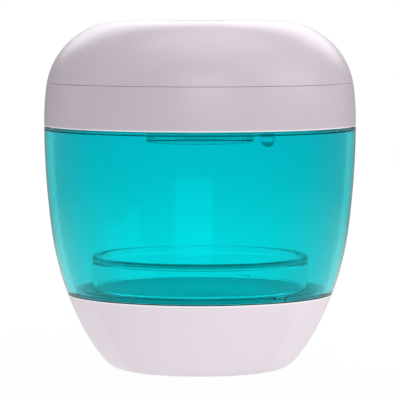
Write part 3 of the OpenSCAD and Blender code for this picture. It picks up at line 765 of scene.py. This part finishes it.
def makeLightRing(r, domeWall):
    low, top = span("light_ring")[1:]
    collarTop = caseOutline["height"] - domeWall
    collarLow, tubeIn = collarTop - r["collarHigh"], r["in"] + r["step"]
    profile = [(r["in"], collarTop), (tubeIn, collarTop), (tubeIn, low), (r["tube"], low),
               (r["tube"], collarLow), (r["collar"], collarLow), (r["collar"], collarTop),
               (r["out"], collarTop), (r["out"], top), (r["in"], top)]
    ring = turnRounded("lightRing", profile, r["round"], steps=120)
    dress(ring, "lid", "light_plastic", "light_ring")


makePushButton(buttonShape)
makeLightRing(lightRingShape, domeShape["wall"])
print("lid made")

windowShape = {"shoulder": 62.45, "wall": 2.2, "bead": 0.9, "neckIn": 36.9, "neckOut": 38.3,
               "neckRound": 0.4, "shoulderRound": 0.25, "beadRound": 0.5, "round": 0.25, "stride": 1.2}

# Three keys at the window's foot sit in notches of the chamber's floor. Their turn is in degrees.
keyShape = {"wide": 3.4, "high": 1.5, "deep": 1.9, "setIn": 0.25, "wallLevel": 0.5, "corner": 0.15,
            "turn": -52.5, "count": 3}


def keySpins(key):
    return [radians(key["turn"] + 360 * i / key["count"]) for i in range(key["count"])]


def makeWindow(w, key):
    low, top = span("window")[1:]
    beadLow = w["shoulder"] - w["bead"]
    outside = outlinePath(0, low, w["shoulder"], w["stride"])
    inside = outlinePath(w["wall"], low, beadLow, w["stride"])[::-1]
    profile = outside[:-1] + [outside[-1] + (w["shoulderRound"],), (w["neckOut"], w["shoulder"]),
                              (w["neckOut"], top, w["neckRound"]), (w["neckIn"], top),
                              (w["neckIn"], beadLow, w["beadRound"]), inside[0] + (w["beadRound"],)]
    window = turnRounded("windowShell", profile + inside[1:], w["round"], steps=240)
    wallIn = outlineAt(w["wall"], low + key["wallLevel"])
    size = (key["deep"], key["wide"], key["high"])
    middle = (wallIn - key["setIn"], 0, low + key["high"] / 2)
    for spin in keySpins(key):
        cutOrJoin(window, mouldedBlock("windowKey", size, middle, key["corner"], spin), "UNION")
    dress(window, "container", "window_plastic", "window")


makeWindow(windowShape, keyShape)

standShape = {"wall": 1.3, "rimHigh": 1.7, "rimWide": 2.5, "rimRound": 0.7, "footRound": 0.2, "round": 0.3}


def makeClearStand(s):
    out, low, top = span("pacifier_stand")
    rimIn, rimLow, wallIn = out - s["rimWide"], top - s["rimHigh"], out - s["wall"]
    profile = [(wallIn, low), (out, low, s["footRound"]), (out, top, s["rimRound"]),
               (rimIn, top, s["rimRound"]), (rimIn, rimLow), (wallIn, rimLow)]
    ring = turnRounded("clearStandRing", profile, s["round"], steps=200, cornerSteps=5)
    dress(ring, "stand", "stand_plastic", "pacifier_stand")


makeClearStand(standShape)

floorShape = {"thick": 1.3, "skirtOut": 30.4, "skirtIn": 29.1, "skirtDrop": 3.0, "round": 0.25,
              "notchWide": 3.8, "notchDeep": 1.3, "toolLong": 6, "toolHigh": 4, "toolCorner": 0.1}
discShape = {"round": 0.1}


def makeChamberFloor(f, key):
    plug, top = span("chamber_floor")[::2]
    under = top - f["thick"]
    skirtLow = under - f["skirtDrop"]
    profile = [(0, under), (f["skirtIn"], under), (f["skirtIn"], skirtLow), (f["skirtOut"], skirtLow),
               (f["skirtOut"], under), (plug, under), (plug, top), (0, top)]
    plate = turnRounded("chamberFloorPlate", profile, f["round"], closed=False)
    size = (f["toolLong"], f["notchWide"], f["toolHigh"])
    middle = (plug - f["notchDeep"] + f["toolLong"] / 2, 0, top)
    for spin in keySpins(key):
        cutOrJoin(plate, mouldedBlock("notchTool", size, middle, f["toolCorner"], spin), "DIFFERENCE")
    dress(plate, "container", "floor_plastic", "chamber_floor")


def makeFloorDisc(d):
    profile = ringProfile(0, *span("floor_disc"))
    disc = turnRounded("satinFloorDisc", profile, d["round"], closed=False)
    dress(disc, "container", "disc_metal", "floor_disc")


makeChamberFloor(floorShape, keyShape)
makeFloorDisc(discShape)
print("window, stand and floor made")

baseShape = {"wall": 2.2, "floorThick": 2.4, "rimIn": 30.55, "footIn": 12.0, "footOut": 18.0,
             "footDeep": 1.0, "trim": 0.1, "topRound": 0.4, "round": 0.2}
gasketShape = {"in": 31.95, "setBack": 0.15, "round": 0.08}
footRingShape = {"gap": 0.1, "round": 0.3}


def makeBase(b):
    low, seam = span("base_cup")[1:]
    inFloor, footTop = low + b["floorThick"], low + b["footDeep"]
    outside = [p for p in outlinePath(0, low, seam) if p[0] > b["footOut"]]
    inside = [p for p in outlinePath(b["wall"], inFloor, seam)[::-1]
              if b["trim"] < p[0] < b["rimIn"] - b["trim"]]
    profile = [(0, low), (b["footIn"], low), (b["footIn"], footTop), (b["footOut"], footTop),
               (b["footOut"], low)]
    profile += outside[:-1] + [outside[-1] + (b["topRound"],), (b["rimIn"], seam)]
    profile += [(b["rimIn"], inside[0][1])] + inside + [(0, inFloor)]
    base = turnRounded("baseCupShell", profile, b["round"], closed=False)
    dress(base, "container", "base_plastic", "base_cup")


def makeGasket(g):
    low, top = span("base_gasket")[1:]
    profile = ringProfile(g["in"], outlineAt(g["setBack"], low), low, top)
    ring = turnRounded("baseGasketRing", profile, g["round"])
    dress(ring, "container", "gasket_rubber", "base_gasket")


def makeFootRing(f, b):
    low, top = span("foot_ring")[1:]
    profile = ringProfile(b["footIn"] + f["gap"], b["footOut"] - f["gap"], low, top)
    pad = turnRounded("footRingPad", profile, f["round"])
    dress(pad, "container", "foot_silicone", "foot_ring")


makeBase(baseShape)
makeGasket(gasketShape)
makeFootRing(footRingShape, baseShape)
print("base made")


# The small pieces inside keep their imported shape, and each gets the finish of its slot.
def dressPackedPieces():
    slotOf = {part["node"]: part["material_slot"] for part in frame["record"]["subparts"]}
    for name, piece in frame["nodes"].items():
        piece.data.materials.clear()
        piece.data.materials.append(finishes[slotOf[name]])
        shadePiece(piece, sharpTurn["packedPiece"])


dressPackedPieces()
print("packed pieces dressed")

# The studio is in metres. Each lamp is [place, width and height, watts].
studio = {"sheetColour": (0.95, 0.95, 0.95, 1), "sheetRough": 0.9, "sheetShine": 0.1,
          "tableReach": 0.8, "tableWhite": 0.95, "tableMiddle": (0, 0, 0),
          "screenAway": 1.5, "screenHalf": 0.6, "screenHigh": 1.2, "screenWhite": 1.0,
          "screenMiddle": (0, 1.5, 0.3), "glossNear": 0.06, "glossFar": 0.35, "glossWhite": 0.9,
          "sheen": 0.25, "soft": 0.45, "lampAim": (0, 0, 0.045),
          "lamps": {"topSoftbox": [(0.05, 0.05, 0.85), (0.7, 0.7), 2.5],
                    "rimSoftbox": [(0.05, 0.85, 0.55), (1.3, 0.5), 4.6],
                    "rightSoftbox": [(0.85, -0.25, 0.46), (0.7, 0.6), 1.9],
                    "frontSoftbox": [(0.10, -1.10, 0.50), (0.7, 0.7), 3.5]}}


def addMost(tree, a, b):
    return addMath(tree, "MAXIMUM", a, b)


def addShaderMix(tree, share, plain, bright, surface):
    mix = tree.nodes.new("ShaderNodeMixShader")
    for key, source in enumerate((share, plain, bright)):
        tree.links.new(source, mix.inputs[key])
    tree.links.new(mix.outputs[0], surface)


# White to the camera, through clear walls and in the light that matt faces get from it. Where the
# white is under 1, the rest is a matt sheet, which takes the case's shadow. In gloss the white dims
# from the near to the far distance round the middle, so that no edge of the sheet is mirrored.
def makeWhiteSheet(name, corners, white, middle, s):
    bm = bmesh.new()
    bm.faces.new([bm.verts.new(corner) for corner in corners])
    sheet = finishMesh(name, bm)
    material, tree, shader = startFinish(name + "White")
    shader.inputs["Base Color"].default_value = s["sheetColour"]
    shader.inputs["Roughness"].default_value = s["sheetRough"]
    shader.inputs["Specular IOR Level"].default_value = s["sheetShine"]
    path = tree.nodes.new("ShaderNodeLightPath")
    through = path.outputs["Is Transmission Ray"]
    straight = addMost(tree, path.outputs["Is Camera Ray"], through)
    gloss = addMath(tree, "SUBTRACT", path.outputs["Is Glossy Ray"], through, True)
    seen = addMost(tree, addMath(tree, "MULTIPLY", straight, white), gloss)
    share = addMost(tree, seen, path.outputs["Is Diffuse Ray"])
    away = tree.nodes.new("ShaderNodeVectorMath")
    away.operation = "DISTANCE"
    away.inputs[1].default_value = middle
    tree.links.new(addCoords(tree), away.inputs[0])
    dim = tree.nodes.new("ShaderNodeMapRange")
    for key, value in (("From Min", s["glossNear"]), ("From Max", s["glossFar"]),
                       ("To Min", 1 - s["glossWhite"]), ("To Max", 1 - s["sheen"])):
        dim.inputs[key].default_value = value
    tree.links.new(away.outputs["Value"], dim.inputs["Value"])
    glow = tree.nodes.new("ShaderNodeEmission")
    glow.inputs["Color"].default_value = fullWhite
    strength = addMath(tree, "SUBTRACT", 1.0, addMath(tree, "MULTIPLY", gloss, dim.outputs[0]))
    tree.links.new(strength, glow.inputs["Strength"])
    surface = tree.nodes["Material Output"].inputs["Surface"]
    addShaderMix(tree, share, shader.outputs[0], glow.outputs[0], surface)
    sheet.data.materials.append(material)


# The table runs under the case and the screen stands behind it. The table is one triangle, because
# the diagonal of a square would show in its light as a line on the base.
def makeSheets(s):
    reach, wide, away, high = s["tableReach"], s["screenHalf"], s["screenAway"], s["screenHigh"]
    table = [(-2 * reach, reach, 0), (0, -2 * reach, 0), (2 * reach, reach, 0)]
    screen = [(-wide, away, 0), (-wide, away, high), (wide, away, high), (wide, away, 0)]
    makeWhiteSheet("studioTable", table, s["tableWhite"], s["tableMiddle"], s)
    makeWhiteSheet("studioScreen", screen, s["screenWhite"], s["screenMiddle"], s)


# The room is white where it is seen, dim in gloss beside the screen, and soft as a light.
def makeRoom(s):
    world = bpy.data.worlds.new("studioRoom")
    bpy.context.scene.world = world
    world.use_nodes = True
    tree = world.node_tree
    plain = tree.nodes["Background"]
    plain.inputs["Color"].default_value = fullWhite
    plain.inputs["Strength"].default_value = s["soft"]
    white = tree.nodes.new("ShaderNodeBackground")
    white.inputs["Color"].default_value = fullWhite
    path = tree.nodes.new("ShaderNodeLightPath")
    straight = addMost(tree, path.outputs["Is Camera Ray"], path.outputs["Is Transmission Ray"])
    gloss = addMath(tree, "MULTIPLY", path.outputs["Is Glossy Ray"], s["sheen"])
    tree.links.new(addMost(tree, straight, gloss), white.inputs["Strength"])
    share = addMost(tree, straight, path.outputs["Is Glossy Ray"])
    surface = tree.nodes["World Output"].inputs["Surface"]
    addShaderMix(tree, share, plain.outputs[0], white.outputs[0], surface)


def hangLamps(s):
    for name, (place, size, watts) in s["lamps"].items():
        data = bpy.data.lights.new(name, "AREA")
        data.shape = "RECTANGLE"
        data.size, data.size_y = size
        data.energy = watts
        lamp = bpy.data.objects.new(name, data)
        bpy.context.scene.collection.objects.link(lamp)
        lamp.location = place
        aim = Vector(s["lampAim"]) - Vector(place)
        lamp.rotation_euler = aim.to_track_quat("-Z", "Y").to_euler()


makeSheets(studio)
makeRoom(studio)
hangLamps(studio)
bpy.context.scene.view_settings.view_transform = "Standard"
print("studio lit")
